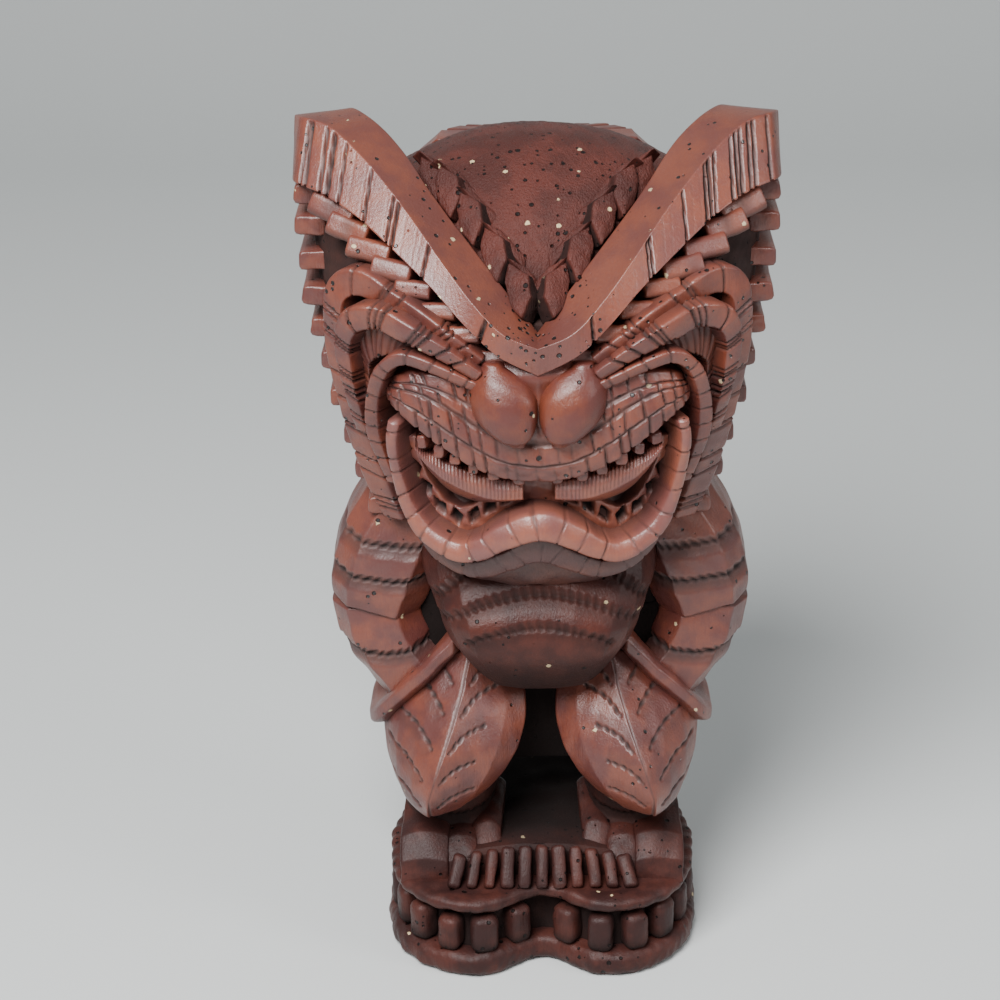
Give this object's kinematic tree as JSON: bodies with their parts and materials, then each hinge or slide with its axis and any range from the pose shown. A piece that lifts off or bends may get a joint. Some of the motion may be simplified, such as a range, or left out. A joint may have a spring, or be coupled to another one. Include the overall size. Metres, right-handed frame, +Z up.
{
  "type": "carved tiki figurine",
  "caption": "Standing carved-look figurine with a V crest, swept brows, grinning mouth, arms held to the hips and a lobed, pegged base.",
  "frame": {"origin": "on the resting surface, under the middle of the figure's bounding box", "axes": "+Z up through the crest, the face looks along -Y, +X is at the viewer's right when facing it"},
  "size_m": [0.0944, 0.0848, 0.178],
  "materials": {
    "base": "satin",
    "legs": "satin",
    "trunk": "satin",
    "face": "satin",
    "skull": "satin",
    "mouth": "satin",
    "crest": "satin",
    "hair": "satin"
  },
  "bodies": {
    "root": {"base_plinth": "base", "base_waist": "base", "base_pegs": "base", "base_band": "base", "base_mound": "base", "base_ribs": "base", "foot_left": "legs", "foot_right": "legs", "shin_left": "legs", "shin_right": "legs", "thigh_left": "legs", "thigh_right": "legs", "seat": "legs", "belly": "trunk", "upper_back": "trunk", "hand_left": "trunk", "hand_right": "trunk", "forearm_left": "trunk", "forearm_right": "trunk", "upper_arm_left": "trunk", "upper_arm_right": "trunk", "head_core": "face", "skull": "skull", "jaw": "face", "lower_lip": "mouth", "chin_roll": "face", "muzzle": "face", "mouth_roll_left": "mouth", "mouth_roll_right": "mouth", "lower_teeth": "mouth", "upper_teeth": "mouth", "nostril_left": "face", "nostril_right": "face", "nose_bridge": "face", "brow_band_left": "face", "brow_band_right": "face", "eye_band_left": "face", "eye_band_right": "face", "eye_panel_left": "face", "eye_panel_right": "face", "cheek_ridge_left": "face", "cheek_ridge_right": "face", "crest_left": "crest", "crest_right": "crest", "crest_steps_left": "crest", "crest_steps_right": "crest", "crown_leaves_left": "crest", "crown_leaves_right": "crest", "side_comb_left": "hair", "side_comb_right": "hair", "back_plate": "hair", "back_chevrons": "hair", "nape_locks": "hair"}
  },
  "joints": []
}
